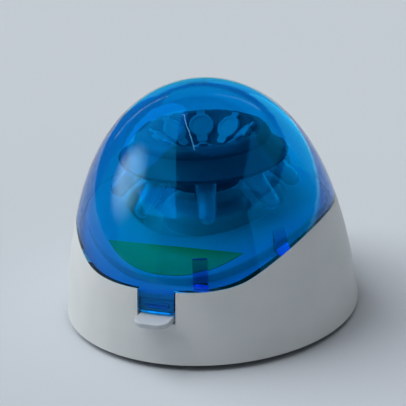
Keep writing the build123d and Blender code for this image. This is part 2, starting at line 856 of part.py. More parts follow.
def motor_end_cap():
    cap = post(0, 0, motor_bottom_z - end_cap_t, motor_bottom_z, motor_r - motor_skin / 2)
    spigot_r = motor_r - motor_skin - pin_running
    cap += post(0, 0, motor_bottom_z, motor_bottom_z + spigot_h, spigot_r)
    cap -= post(0, 0, motor_bottom_z - end_cap_t + 1, cut, bush_r + pin_tight)
    half_t = terminal_t / 2 + pin_running
    half_w = terminal_w / 2 + pin_running
    for x in (-terminal_x, terminal_x):
        cap -= block(x - half_t, x + half_t, -half_w, half_w, 0, cut)
    return cap


def motor_terminals():
    half_t = terminal_t / 2
    half_w = terminal_w / 2
    z0 = motor_bottom_z - end_cap_t - 3
    xs = (-terminal_x, terminal_x)
    return Compound(children=[
        block(x - half_t, x + half_t, -half_w, half_w, z0, motor_bottom_z + spigot_h / 3) for x in xs
    ])


def motor_bushes():
    bore = shaft_r + pin_running
    lower = ring(motor_bottom_z - end_cap_t + 1, motor_bottom_z + spigot_h, bore, bush_r)
    upper = ring(motor_top_z - nose_depth, motor_top_z + nose_h, bore, bush_r)
    return Compound(children=[lower, upper])


def motor_screws():
    screws = []
    z = motor_top_z + cup_t
    for x, y in motor_screw_places():
        head = post(x, y, z, z + 1.5, screw_head_r - 0.2)
        screws.append(head + post(x, y, motor_top_z - motor_skin, z, screw_r))
    return Compound(children=screws)


def motor_dampers():
    """Rubber spools between the cup's rim and the bosses under the bowl."""
    z0 = cup_rim_z - (damper_h - cup_t) / 2
    neck_r = damper_neck_r - pin_running
    spools = []
    for x, y in damper_places():
        spool = turned([
            (screw_r + 0.2, 0), (damper_r, 0), (damper_r, (damper_h - cup_t) / 2),
            (neck_r, (damper_h - cup_t) / 2), (neck_r, (damper_h + cup_t) / 2),
            (damper_r, (damper_h + cup_t) / 2), (damper_r, damper_h), (screw_r + 0.2, damper_h),
        ])
        spools.append(Pos(x, y, z0) * spool)
    return Compound(children=spools)


def damper_screws():
    head_z = cup_rim_z - (damper_h - cup_t) / 2 - screw_head_h
    tip_z = bowl_floor_z - skin_t - 1.2
    return Compound(children=[pan_screw(x, y, head_z, tip_z) for x, y in damper_places()])


def control_board():
    board = block(-board_w / 2, board_w / 2, board_y0, board_y1, post_top_z, board_top_z)
    for x, y in board_post_places():
        board -= post(x, y, 0, cut, screw_r + screw_free)
    return board


def board_screws():
    screws = []
    for x, y in board_post_places():
        head = post(x, y, board_top_z, board_top_z + 1.4, screw_head_r - 0.4)
        screws.append(head + post(x, y, cover_top_z, board_top_z, screw_r - 0.5))
    return Compound(children=screws)


def capacitor():
    y = board_y0 + capacitor_y
    top_z = board_top_z + capacitor_h
    can = post(capacitor_x, y, board_top_z, top_z, capacitor_r)
    can = fillet(can.faces().sort_by(Axis.Z)[-1].edges(), 0.8)
    groove = 1.4 * capacitor_r
    return can - (Pos(capacitor_x, y, top_z) * (Box(groove, 0.6, 0.6) + Box(0.6, groove, 0.6)))


def heat_sink():
    y = board_y0 + sink_y
    top_z = board_top_z + sink_h
    sink = block(sink_x, sink_x + sink_w, y, y + sink_t, board_top_z, top_z)
    for step in range(sink_fins):
        x = sink_x + step * (sink_w - fin_t) / (sink_fins - 1)
        sink += block(x, x + fin_t, y - fin_len, y, board_top_z, top_z)
    return sink


def wire_headers():
    y0 = board_y0 + header_wall
    headers = []
    for x in header_places:
        shell = block(x, x + header_w, y0, y0 + header_d, board_top_z, board_top_z + header_h)
        shell -= block(
            x + header_wall, x + header_w - header_wall, y0 + header_wall, y0 + header_d - header_wall,
            board_top_z + header_wall, cut,
        )
        headers.append(shell)
    return Compound(children=headers)


def power_inlet():
    """Barrel socket in the back panel."""
    face = panel_in_y
    half_w = jack_w / 2
    half_h = jack_h / 2
    body = block(
        jack_x - half_w, jack_x + half_w, face - jack_depth, face, jack_z - half_h, jack_z + half_h
    )
    body += bar_y(jack_x, jack_z, face, panel_y + 0.6, jack_nose_r)
    body -= bar_y(jack_x, jack_z, face - jack_bore_depth, cut, jack_bore_r)
    body -= bar_y(jack_x, jack_z, face - jack_depth + 1, cut, jack_pin_r + pin_tight)
    return body


def inlet_contact():
    return bar_y(jack_x, jack_z, panel_in_y - jack_depth + 1, panel_in_y + 1.2, jack_pin_r)


def power_switch():
    """Body and bezel of the rocker switch."""
    half_w = switch_w / 2
    half_h = switch_h / 2
    body = block(-half_w, half_w, panel_y - switch_depth, panel_y, -half_h, half_h)
    bezel = block(
        -half_w - bezel_rim, half_w + bezel_rim, panel_y, panel_y + bezel_t,
        -half_h - bezel_rim, half_h + bezel_rim,
    )
    body += fillet(bezel.edges().filter_by(Axis.Y), 1.2)
    room_w = rocker_half_w + 0.4
    room_h = rocker_half_h + 0.8
    body -= block(-room_w, room_w, panel_y - 5, cut, -room_h, room_h)
    body -= bar_x(rocker_axis_y(), 0, -half_w + 0.4, half_w - 0.4, trunnion_r + pin_running)
    back = panel_y - switch_depth
    for z in (-4, 4):
        body += block(-2.2, 2.2, back - 6, back, z - 0.4, z + 0.4)
    return Pos(switch_x, 0, switch_z) * body


def rocker_axis_y():
    return panel_y - rocker_axis_in


def switch_rocker():
    """Rocker of the power switch, tipped to its off side."""
    y = rocker_axis_y()
    back_half = rocker_half_h - rocker_slant
    outline = Polyline([
        (0, y - rocker_back, -back_half), (0, y + rocker_tip, -rocker_half_h), (0, y + rocker_dip, 0),
        (0, y + rocker_tip, rocker_half_h), (0, y - rocker_back, back_half),
    ], close=True)
    body = extrude(make_face(outline), amount=rocker_half_w, dir=(1, 0, 0), both=True)
    axle = rocker_half_w + trunnion_out
    body += bar_x(y, 0, -axle, axle, trunnion_r)
    lean = Pos(0, y, 0) * Rot(rocker_rest, 0, 0) * Pos(0, -y, 0) * body
    return Pos(switch_x, 0, switch_z) * lean


def hinge_pin():
    end = knuckle_half_gap + ear_t
    pin = bar_x(hinge_y, hinge_z, -end, end, hinge_pin_r)
    return chamfer(pin.edges().filter_by(GeomType.CIRCLE), 0.3)


def lid_shell():
    """Clear lid: the upper bell with its tongue, lugs and hinge arms."""
    outer = bell()
    inner = bell(lid_wall)
    keep = below_split(parting_gap)
    dome = outer - keep
    tongue = block(-tongue_half_w, tongue_half_w, -cut, -30, tongue_bottom_z, split_front_z + 2)
    tongue = outer & fillet(tongue.edges().filter_by(Axis.Y).group_by(Axis.Z)[0], tongue_corner_r)
    lid = dome + tongue
    for side in (-1, 1):
        x0, x1 = sorted((side * knuckle_in_x, side * knuckle_out_x))
        reach_z = hinge_z + 9
        arm = make_face(Polyline([
            (x0, radius_at(reach_z) - 6, hinge_z - 0.7), (x0, hinge_y, hinge_z - knuckle_r),
            (x0, hinge_y, hinge_z + knuckle_r), (x0, radius_at(reach_z) - 3, reach_z),
        ], close=True))
        arm = extrude(arm, amount=x1 - x0, dir=(1, 0, 0)) - below_split(parting_gap)
        lid += arm + bar_x(hinge_y, hinge_z, x0, x1, knuckle_r)
        swing_room = hinge_z - housing_top_z - 0.4
        turn = radians(lid_swing - 90)
        heel = Pos((x0 + x1) / 2, hinge_y, hinge_z) * Rot(degrees(turn), 0, 0) * (
            Pos(0, swing_room / 2, 0) * Box(x1 - x0, swing_room, heel_t)
        )
        lid += heel
    lid -= inner
    lid -= bar_x(hinge_y, hinge_z, -cut, cut, hinge_pin_r + pin_running)
    side_y = -side_lug_face_r * cos(radians(side_lug_angle))
    side_top_z = split_z_at(side_y) + side_lug_h
    for piece in (lug(lug_angle, lug_face_r, lug_top_z), lug(side_lug_angle, side_lug_face_r, side_top_z)):
        lid += (piece & bell(lid_wall * 0.5)) - keep
    bump = block(
        -ledge_bump_half_w, ledge_bump_half_w, -radius_at(ledge_bump_z), bump_face_y(),
        ledge_bump_z, ledge_bump_z + ledge_bump_h,
    )
    lid += bump & bell(lid_wall * 0.5)
    return lid


def bump_face_y():
    return -radius_at(ledge_bump_z, lid_wall) + ledge_bump_d


def split_z_at(y):
    """Height of the parting line on its crest arc."""
    return split_rear_z - crest_r + sqrt(crest_r ** 2 - (y - crest_y) ** 2)


def lug(angle, face_r, top_z):
    """Upright rib inside the lid wall."""
    x, y = from_front(1, angle)
    turn = degrees(atan2(y, x))
    return Rot(0, 0, turn) * block(face_r, base_d / 2, -lug_w / 2, lug_w / 2, 20, top_z)


def tube_frame(index, part):
    """Puts a piece drawn upright at the origin on one tube seat of the rotor."""
    turn = (index + 0.5) * 360.0 / tube_count
    return Rot(0, 0, turn) * Pos(tube_seat_r, 0, tube_seat_z) * Rot(0, -tube_lean, 0) * part


def tube_line(shrink, top):
    """Half outline of a tube from its mouth at top to its round tip, drawn in by shrink."""
    r = tube_body_r - shrink
    tip = tube_tip_r - shrink
    end = -tube_len + shrink
    slope = atan2(r - tip, tube_len - tube_straight)
    touch = (tip * cos(slope), 0, end + tip * (1 - sin(slope)))
    middle = pi / 4 + slope / 2
    mid = (tip * cos(middle), 0, end + tip * (1 - sin(middle)))
    side = Line((r, 0, top), (r, 0, -tube_straight))
    return [side, Line((r, 0, -tube_straight), touch), ThreePointArc(touch, mid, (0, 0, end))]


def sample_tube(index):
    """One hollow tube with its flange on the rotor's seat."""
    outside = tube_line(0, 0)
    inside = tube_line(tube_wall, tube_flange_t)
    wall = Line((0, 0, -tube_len), (0, 0, -tube_len + tube_wall))
    mouth = Polyline([
        (tube_body_r - tube_wall, 0, tube_flange_t), (tube_flange_r, 0, tube_flange_t),
        (tube_flange_r, 0, 0), (tube_body_r, 0, 0),
    ])
    body = revolve(make_face([*outside, wall, *inside, *mouth.edges()]), Axis.Z)
    return tube_frame(index, body)


def tube_cap(index):
    """Snap cap with its plug, its thumb tab towards the rotor's middle and its strap outside."""
    z0 = tube_flange_t
    top = z0 + cap_t
    cap = post(0, 0, z0, top, cap_r)
    cap = fillet(cap.faces().sort_by(Axis.Z)[-1].edges(), cap_round)
    cap -= post(0, 0, top - cap_dish_d, cut, cap_dish_r)
    plug_r = tube_body_r - tube_wall - cap_plug_fit
    cap += ring(z0 - cap_plug_h, z0, plug_r - cap_plug_t, plug_r)
    tab_top = top - 0.1
    tab = block(-cap_tab_reach, -cap_dish_r, -cap_tab_w / 2, cap_tab_w / 2, tab_top - cap_tab_t, tab_top)
    cap += fillet(tab.edges().filter_by(Axis.Z).group_by(Axis.X)[0], cap_tab_round)
    strap_z = z0 + 0.3
    half = cap_strap_w / 2
    strap = block(cap_dish_r, cap_strap_reach, -half, half, strap_z, strap_z + cap_strap_t)
    cap += fillet(strap.edges().filter_by(Axis.Z).group_by(Axis.X)[-1], cap_strap_round)
    return tube_frame(index, cap)


def rotor():
    """Bell-shaped rotor with a dished well and eight leaning holes."""
    seat = tube_seat_z - tube_seat_r
    under = seat - holder_t * sqrt(2)
    bore = collet_r + pin_tight
    brim_under = rotor_brim_z - rotor_brim_t
    waist_z = rotor_rim_z - waist_drop
    flare = ThreePointArc(
        (rotor_brim_r, 0, rotor_brim_z),
        ((rotor_brim_r + rotor_waist_r) / 2 - flare_sag, 0, (rotor_brim_z + waist_z) / 2 - flare_sag),
        (rotor_waist_r, 0, waist_z),
    )
    shoulder = ThreePointArc(
        (rotor_waist_r, 0, waist_z), (rotor_rim_r + shoulder_out, 0, rotor_rim_z - shoulder_drop),
        (rotor_rim_r, 0, rotor_rim_z),
    )
    rest = Polyline([
        (rotor_rim_r, 0, rotor_rim_z), (rotor_rim_z - seat, 0, rotor_rim_z), (well_floor_r, 0, well_z),
        (bore, 0, well_z), (bore, 0, rotor_hub_z), (rotor_hub_r, 0, rotor_hub_z),
        (rotor_hub_r, 0, rotor_hub_r + under), (brim_under - under, 0, brim_under),
        (rotor_brim_r - rotor_brim_round, 0, brim_under),
        (rotor_brim_r, 0, brim_under + rotor_brim_round), (rotor_brim_r, 0, rotor_brim_z),
    ])
    body = revolve(make_face([flare, shoulder, *rest.edges()]), Axis.Z)
    for index in range(tube_count):
        body -= tube_frame(index, post(0, 0, -tube_len, 1, tube_body_r + tube_fit))
        body -= tube_frame(index, post(0, 0, 0, holder_t, cap_r + tube_fit))
    return body


def drive_collet():
    """Brass sleeve pressed on the shaft, threaded at the top for the nut."""
    sleeve = post(0, 0, rotor_hub_z + 1.4, well_z - 1.0, collet_r)
    sleeve += post(0, 0, well_z - 1.0, well_z + nut_h - 1.2, collet_r - 1.5)
    return sleeve - post(0, 0, 0, well_z - 2.5, shaft_r + pin_tight)


def rotor_nut():
    nut = post(0, 0, well_z, well_z + nut_h, nut_r)
    nut = fillet(nut.faces().sort_by(Axis.Z)[-1].edges(), 0.8)
    nut -= post(0, 0, 0, well_z + nut_h - 1.0, collet_r - 1.5 + pin_tight)
    for x, y in around(nut_r + 0.5, range(0, 360, 30)):
        nut -= post(x, y, 0, cut, 0.9)
    return nut


def motor_shaft():
    return post(0, 0, motor_bottom_z - 2.5, well_z - 3.0, shaft_r)


nodes = {
    "base_shell": base_shell,
    "chamber_deck": chamber_deck,
    "deck_label": label_plate,
    "bottom_cover": bottom_cover,
    "rubber_feet": rubber_feet,
    "cover_screws": cover_screws,
    "deck_screws": deck_screws,
    "motor_cup": motor_cup,
    "motor_can": motor_can,
    "motor_magnets": motor_magnets,
    "motor_armature": motor_armature,
    "motor_end_cap": motor_end_cap,
    "motor_terminals": motor_terminals,
    "motor_bushes": motor_bushes,
    "motor_screws": motor_screws,
    "motor_dampers": motor_dampers,
    "damper_screws": damper_screws,
    "control_board": control_board,
    "board_screws": board_screws,
    "capacitor": capacitor,
    "heat_sink": heat_sink,
    "wire_headers": wire_headers,
    "power_inlet": power_inlet,
    "inlet_contact": inlet_contact,
    "power_switch": power_switch,
    "switch_rocker": switch_rocker,
    "interlock_switch": interlock_switch,
    "interlock_pin": interlock_pin,
    "latch_guide": latch_guide,
    "guide_screws": guide_screws,
    "latch_slider": latch_slider,
    "latch_spring": latch_spring,
    "hinge_pin": hinge_pin,
    "lid_shell": lid_shell,
    "rotor": rotor,
    "drive_collet": drive_collet,
    "rotor_nut": rotor_nut,
    "motor_shaft": motor_shaft,
}

for name, make in nodes.items():
    export_step(make(), f"parts/{name}.step")
for index in range(tube_count):
    export_step(sample_tube(index), f"parts/sample_tube_{index + 1}.step")
    export_step(tube_cap(index), f"parts/tube_cap_{index + 1}.step")
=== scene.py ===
# %% [markdown]
# A mini centrifuge: a white round base, a clear blue bell lid, and a black rotor
# with eight sample tubes under it. The pieces come from the imported model, in
# metres. This lesson gives each of them its finish, gives the latch spring a mesh
# of its own, and lights the whole like a studio shot.

# %% Load the imported pieces
import json
import math

import bpy
from mathutils import Matrix, Vector


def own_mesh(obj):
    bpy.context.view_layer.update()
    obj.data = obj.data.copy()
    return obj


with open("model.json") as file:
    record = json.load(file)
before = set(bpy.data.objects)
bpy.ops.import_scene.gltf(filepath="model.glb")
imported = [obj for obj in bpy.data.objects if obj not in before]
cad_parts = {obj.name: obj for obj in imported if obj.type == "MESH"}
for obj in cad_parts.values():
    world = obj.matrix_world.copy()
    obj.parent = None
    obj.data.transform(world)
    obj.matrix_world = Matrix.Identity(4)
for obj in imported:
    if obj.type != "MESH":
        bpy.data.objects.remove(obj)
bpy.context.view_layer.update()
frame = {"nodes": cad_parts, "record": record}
nodes = frame["nodes"]
print(len(nodes), "pieces loaded")

# %% [markdown]
# Colours are written as sRGB hex, the way a maker or a paint card gives them, and
# one function turns them to the linear values that shaders work with. Sizes on the
# object are written in millimetres and turned to metres by one factor. The studio
# round it is written in metres.

# %% Colours, sizes, directions and one way to add a node
MM = 0.001


def linear(hex_colour):
    """Linear colour with alpha 1 from an sRGB hex string such as #c8ced1."""
    channels = [int(hex_colour[i:i + 2], 16) / 255 for i in (1, 3, 5)]
    return tuple(c / 12.92 if c <= 0.04045 else ((c + 0.055) / 1.055) ** 2.4 for c in channels) + (1.0,)


def put(tree, kind, settings=None, links=None):
    """Adds one node. Settings are its own values or its sockets, links give the sockets that feed it.

    A socket goes by its name, or by its number where two sockets share a name."""
    node = tree.nodes.new(kind)
    for name, value in (settings or {}).items():
        if isinstance(name, str) and name in node.bl_rna.properties:
            setattr(node, name, value)
        else:
            node.inputs[name].default_value = value
    for name, source in (links or {}).items():
        tree.links.new(source, node.inputs[name])
    return node


def new_finish(name):
    """An empty node material and its tree."""
    finish = bpy.data.materials.new(name)
    finish.use_nodes = True
    finish.node_tree.nodes.clear()
    return finish, finish.node_tree


def direction(round_deg, up_deg):
    """Unit vector away from the object, by degrees round (0 front, 90 right) and degrees up."""
    turned = math.radians(round_deg)
    raised = math.radians(up_deg)
    level = math.cos(raised)
    return Vector((math.sin(turned) * level, -math.cos(turned) * level, math.sin(raised)))


print("pale test colour:", [round(c, 3) for c in linear("#c8ced1")])

# %% [markdown]
# The casing, the rotor and most small parts are injection moulded plastic. Such a
# skin is never a mirror: the mould is spark eroded or blasted, which leaves a fine
# orange-peel relief, and the plastic flows a little unevenly, so colour and gloss
# drift over centimetres. One recipe with its sizes in millimetres as settings serves
# them all. The relief is set a little coarser than a real mould's, which would be too
# fine to show here.

# %% Moulded plastics
def moulded_plastic(name, tones, gloss, peel_mm, peel_height_mm, ior=1.53, glow=0.0):
    """Plastic from a mould: two close tones, a low and a high roughness, and the tool's relief."""
    flow_mm = 28
    handling_mm = 9
    glow_depth_mm = 1.5
    finish, tree = new_finish(name)
    place = put(tree, "ShaderNodeTexCoord").outputs["Object"]
    flow = put(tree, "ShaderNodeTexNoise", {"Scale": 1 / (flow_mm * MM), "Detail": 2.0}, {"Vector": place})
    drift = put(tree, "ShaderNodeMapRange", {"From Min": 0.35, "From Max": 0.65},
                {"Value": flow.outputs["Fac"]})
    colour = put(tree, "ShaderNodeMix", {"data_type": "RGBA", 6: linear(tones[0]), 7: linear(tones[1])},
                 {0: drift.outputs["Result"]})
    handling = put(tree, "ShaderNodeTexNoise", {"Scale": 1 / (handling_mm * MM), "Detail": 4.0},
                   {"Vector": place})
    rough = put(tree, "ShaderNodeMapRange",
                {"From Min": 0.3, "From Max": 0.7, "To Min": gloss[0], "To Max": gloss[1]},
                {"Value": handling.outputs["Fac"]})
    peel = put(tree, "ShaderNodeTexNoise", {"Scale": 1 / (peel_mm * MM), "Detail": 3.0, "Roughness": 0.6},
               {"Vector": place})
    bump = put(tree, "ShaderNodeBump", {"Distance": peel_height_mm * MM}, {"Height": peel.outputs["Fac"]})
    skin = put(tree, "ShaderNodeBsdfPrincipled",
               {"IOR": ior, "Subsurface Weight": glow, "Subsurface Scale": glow_depth_mm * MM},
               {"Base Color": colour.outputs[2], "Roughness": rough.outputs["Result"],
                "Normal": bump.outputs["Normal"]})
    put(tree, "ShaderNodeOutputMaterial", None, {"Surface": skin.outputs["BSDF"]})
    return finish


white_abs = moulded_plastic("white ABS, fine spark-eroded mould", ("#dadedd", "#e1e4e3"), (0.34, 0.46),
                            peel_mm=0.9, peel_height_mm=0.02)
dark_abs = moulded_plastic("dark grey ABS, coarse mould", ("#232528", "#2b2d31"), (0.45, 0.6),
                           peel_mm=1.1, peel_height_mm=0.04)
# Painted shade: the latch is the casing's white ABS, its tones painted darker and bluer to stand in for the
# blue lid's shade.
latch_abs_painted_shade = moulded_plastic("white ABS with painted lid shade, fine spark-eroded mould", ("#b7bfc5", "#c0c7cc"), (0.34, 0.46),
                            peel_mm=0.9, peel_height_mm=0.02)
black_nylon = moulded_plastic("black nylon, moulded", ("#151617", "#1c1d1f"), (0.32, 0.5),
                              peel_mm=0.8, peel_height_mm=0.02)
rotor_nylon = moulded_plastic("black glass-filled nylon, moulded", ("#18191b", "#212224"), (0.38, 0.55),
                              peel_mm=0.7, peel_height_mm=0.03)
white_nylon = moulded_plastic("natural nylon, moulded", ("#d9d4c4", "#e2decf"), (0.35, 0.5),
                              peel_mm=0.8, peel_height_mm=0.02, glow=0.15)
soft_rubber = moulded_plastic("black rubber, moulded", ("#17181a", "#202124"), (0.62, 0.8),
                              peel_mm=1.3, peel_height_mm=0.05, ior=1.52)
plastics = (white_abs, dark_abs, latch_abs_painted_shade, black_nylon, rotor_nylon, white_nylon, soft_rubber)
print("moulded plastics:", [finish.name for finish in plastics])

# %% [markdown]
# The metals differ in how they were made. Zinc-plated screws are bright with a faint
# bluish haze, drawn steel of the motor cup is stretched into fine lines, sintered
# magnets and stacked iron are dull, brass parts are turned. All are bare metal, so
# their colour sits in the reflection, and the lines come from noise that is
# stretched along the way the metal was worked. Zinc plate has no such way, so its
# noise is the same in every direction.

# %% Bare and plated metals
ALL_WAYS = (1.0, 1.0, 1.0)


def worked_metal(name, tones, gloss, line_mm, line_height_mm, stretch):
    """Metal with fine lines of a real width, stretched along the way it was worked."""
    cloud_mm = 7
    finish, tree = new_finish(name)
    place = put(tree, "ShaderNodeTexCoord").outputs["Object"]
    lay = put(tree, "ShaderNodeMapping", {"Scale": stretch}, {"Vector": place}).outputs["Vector"]
    lines = put(tree, "ShaderNodeTexNoise", {"Scale": 1 / (line_mm * MM), "Detail": 4.0}, {"Vector": lay})
    cloud = put(tree, "ShaderNodeTexNoise", {"Scale": 1 / (cloud_mm * MM), "Detail": 3.0}, {"Vector": place})
    colour = put(tree, "ShaderNodeMix", {"data_type": "RGBA", 6: linear(tones[0]), 7: linear(tones[1])},
                 {0: cloud.outputs["Fac"]})
    rough = put(tree, "ShaderNodeMapRange",
                {"From Min": 0.3, "From Max": 0.7, "To Min": gloss[0], "To Max": gloss[1]},
                {"Value": lines.outputs["Fac"]})
    bump = put(tree, "ShaderNodeBump", {"Distance": line_height_mm * MM}, {"Height": lines.outputs["Fac"]})
    skin = put(tree, "ShaderNodeBsdfPrincipled", {"Metallic": 1.0},
               {"Base Color": colour.outputs[2], "Roughness": rough.outputs["Result"],
                "Normal": bump.outputs["Normal"]})
    put(tree, "ShaderNodeOutputMaterial", None, {"Surface": skin.outputs["BSDF"]})
    return finish


zinc_plate = worked_metal("zinc-plated steel", ("#b4babf", "#ccd1d6"), (0.22, 0.38),
                          line_mm=0.5, line_height_mm=0.01, stretch=ALL_WAYS)
bright_steel = worked_metal("bright drawn steel", ("#a9abad", "#c4c6c8"), (0.18, 0.3),
                            line_mm=0.35, line_height_mm=0.008, stretch=(1.0, 1.0, 0.08))
cup_steel = worked_metal("deep-drawn steel, lightly brushed", ("#8f9498", "#aab0b4"), (0.28, 0.42),
                         line_mm=0.4, line_height_mm=0.01, stretch=(1.0, 1.0, 0.1))
dull_iron = worked_metal("stacked iron sheet", ("#4a4d50", "#63676a"), (0.45, 0.6),
                         line_mm=0.5, line_height_mm=0.03, stretch=(0.15, 0.15, 1.0))
turned_brass = worked_metal("turned brass", ("#b8964c", "#cfae62"), (0.2, 0.34),
                            line_mm=0.3, line_height_mm=0.008, stretch=(0.1, 0.1, 1.0))
aluminium = worked_metal("extruded aluminium", ("#b9bcbe", "#cdd0d2"), (0.3, 0.42),
                         line_mm=0.4, line_height_mm=0.01, stretch=(1.0, 0.06, 1.0))
metals = (zinc_plate, bright_steel, cup_steel, dull_iron, turned_brass, aluminium)
print("metals:", [finish.name for finish in metals])

# %% [markdown]
# The label is a printed plastic film stuck on the deck in front of the bowl. Such a
# film is smooth and slightly glossy, and a faint ripple shows where it was pressed
# on by hand. It is an even yellow here, with the ripple and the ink's fine grain.

# %% Printed film of the label
def yellow_film():
    """Printed film: a hand-pressed ripple and a fine grain of ink."""
    ripple_mm = 14
    ink_mm = 1.2
    finish, tree = new_finish("yellow polyester film, printed")
    place = put(tree, "ShaderNodeTexCoord").outputs["Object"]
    ripple = put(tree, "ShaderNodeTexNoise", {"Scale": 1 / (ripple_mm * MM), "Detail": 1.0},
                 {"Vector": place})
    ink = put(tree, "ShaderNodeTexNoise", {"Scale": 1 / (ink_mm * MM), "Detail": 3.0}, {"Vector": place})
    colour = put(tree, "ShaderNodeMix", {"data_type": "RGBA", 6: linear("#e0bb12"), 7: linear("#ebc824")},
                 {0: ink.outputs["Fac"]})
    bump = put(tree, "ShaderNodeBump", {"Distance": 0.05 * MM}, {"Height": ripple.outputs["Fac"]})
    film = put(tree, "ShaderNodeBsdfPrincipled", {"Roughness": 0.3, "IOR": 1.6},
               {"Base Color": colour.outputs[2], "Normal": bump.outputs["Normal"]})
    put(tree, "ShaderNodeOutputMaterial", None, {"Surface": film.outputs["BSDF"]})
    return finish


label_film = yellow_film()
print("label:", label_film.name)

# %% [markdown]
# The control board is glass cloth in green lacquer. The cloth shows through the
# lacquer as a faint crossing of threads, about 0.5 mm apart. Each set of threads is a
# wave texture, whose bands repeat every pi / 10 at scale 1.

# %% Lacquered glass cloth of the board
def lacquered_board():
    """Green lacquer over crossing threads."""
    thread_mm = 0.5
    finish, tree = new_finish("green lacquered glass cloth")
    place = put(tree, "ShaderNodeTexCoord").outputs["Object"]
    waves = {"wave_type": "BANDS", "Scale": math.pi / (10 * thread_mm * MM), "Distortion": 0.6}
    warp = put(tree, "ShaderNodeTexWave", dict(waves, bands_direction="X"), {"Vector": place})
    weft = put(tree, "ShaderNodeTexWave", dict(waves, bands_direction="Y"), {"Vector": place})
    cloth = put(tree, "ShaderNodeMath", {"operation": "MULTIPLY"},
                {0: warp.outputs["Fac"], 1: weft.outputs["Fac"]})
    colour = put(tree, "ShaderNodeMix", {"data_type": "RGBA", 6: linear("#1c4d2c"), 7: linear("#2a6a3e")},
                 {0: cloth.outputs["Value"]})
    bump = put(tree, "ShaderNodeBump", {"Distance": 0.01 * MM}, {"Height": cloth.outputs["Value"]})
    lacquer = put(tree, "ShaderNodeBsdfPrincipled", {"Roughness": 0.28, "IOR": 1.5, "Coat Weight": 0.3},
                  {"Base Color": colour.outputs[2], "Normal": bump.outputs["Normal"]})
    put(tree, "ShaderNodeOutputMaterial", None, {"Surface": lacquer.outputs["BSDF"]})
    return finish


board_lacquer = lacquered_board()
sleeve_pvc = moulded_plastic("dark blue shrink sleeve, PVC", ("#1b2338", "#232c45"), (0.25, 0.4),
                             peel_mm=0.6, peel_height_mm=0.01)
print("board and sleeve:", board_lacquer.name, "and", sleeve_pvc.name)

# %% [markdown]
# The lid is polycarbonate, dyed through in blue. The colour is in the thickness, so
# it deepens at the rim where the eye looks along the wall. The shader is therefore
# clear glass with a volume that absorbs light: nearly all red, some green, hardly
# any blue. Lamps have to reach the pieces below it, and light that a path tracer
# sends through glass by chance is noisy, so shadow rays and bounced light pass
# through an almost colourless transparent shader instead.

# %% Clear blue polycarbonate
def lamps_pass(tree, clear, tint):
    """Mixes a clear shader with a transparent one that only shadow rays and bounced light meet."""
    path = put(tree, "ShaderNodeLightPath")
    through = put(tree, "ShaderNodeMath", {"operation": "MAXIMUM"},
                  {0: path.outputs["Is Shadow Ray"], 1: path.outputs["Is Diffuse Ray"]})
    light_through = put(tree, "ShaderNodeBsdfTransparent", {"Color": linear(tint)})
    return put(tree, "ShaderNodeMixShader", None,
               {0: through.outputs["Value"], 1: clear.outputs["BSDF"], 2: light_through.outputs["BSDF"]})


def tinted_polycarbonate():
    """Polished clear shell, dyed through."""
    flow_mm = 24
    red_green_blue_kept = (0.0, 0.868, 0.972, 1.0)
    dye_per_metre = 2000.0
    finish, tree = new_finish("blue polycarbonate, polished mould")
    place = put(tree, "ShaderNodeTexCoord").outputs["Object"]
    flow = put(tree, "ShaderNodeTexNoise", {"Scale": 1 / (flow_mm * MM), "Detail": 1.0}, {"Vector": place})
    bump = put(tree, "ShaderNodeBump", {"Distance": 0.03 * MM}, {"Height": flow.outputs["Fac"]})
    skin = {"Base Color": linear("#ffffff"), "Transmission Weight": 1.0, "IOR": 1.585, "Roughness": 0.02,
            "Specular Tint": linear("#60c4ff")}
    clear = put(tree, "ShaderNodeBsdfPrincipled", skin, {"Normal": bump.outputs["Normal"]})
    shell = lamps_pass(tree, clear, "#fafafa")
    dye = put(tree, "ShaderNodeVolumeAbsorption", {"Color": red_green_blue_kept, "Density": dye_per_metre})
    put(tree, "ShaderNodeOutputMaterial", None,
        {"Surface": shell.outputs["Shader"], "Volume": dye.outputs["Volume"]})
    return finish


blue_polycarbonate = tinted_polycarbonate()
print("lid:", blue_polycarbonate.name)

# %% [markdown]
# The sample tubes are natural polypropylene: clear, but milky, because its crystals
# scatter a little light. Their caps are thicker and hardly clear any more, so they
# are opaque here and glow a little from inside. Their near-white is painted down to
# a pale grey: painted shade that stands in for the lid's shade over them.

# %% Milky polypropylene
def milky_polypropylene():
    """Thin clear wall, made milky by its crystals."""
    crystal_mm = 2.5
    finish, tree = new_finish("natural polypropylene, thin wall")
    place = put(tree, "ShaderNodeTexCoord").outputs["Object"]
    crystal = put(tree, "ShaderNodeTexNoise", {"Scale": 1 / (crystal_mm * MM), "Detail": 2.0},
                  {"Vector": place})
    bump = put(tree, "ShaderNodeBump", {"Distance": 0.02 * MM}, {"Height": crystal.outputs["Fac"]})
    wall = {"Base Color": linear("#eef1f2"), "Transmission Weight": 0.75, "IOR": 1.49, "Roughness": 0.16}
    clear = put(tree, "ShaderNodeBsdfPrincipled", wall, {"Normal": bump.outputs["Normal"]})
    tube = lamps_pass(tree, clear, "#e9edee")
    put(tree, "ShaderNodeOutputMaterial", None, {"Surface": tube.outputs["Shader"]})
    return finish


tube_polypropylene = milky_polypropylene()
# Painted shade: the caps' tones are a pale grey, darker than their near-white plastic, standing in for the
# lid's shade over them.
cap_polypropylene_painted_shade = moulded_plastic("natural polypropylene, thick, painted shade", ("#acb1b4", "#babebf"), (0.35, 0.5),
                                    peel_mm=0.8, peel_height_mm=0.02, ior=1.49, glow=0.3)
print("tubes and caps:", tube_polypropylene.name, "and", cap_polypropylene_painted_shade.name)
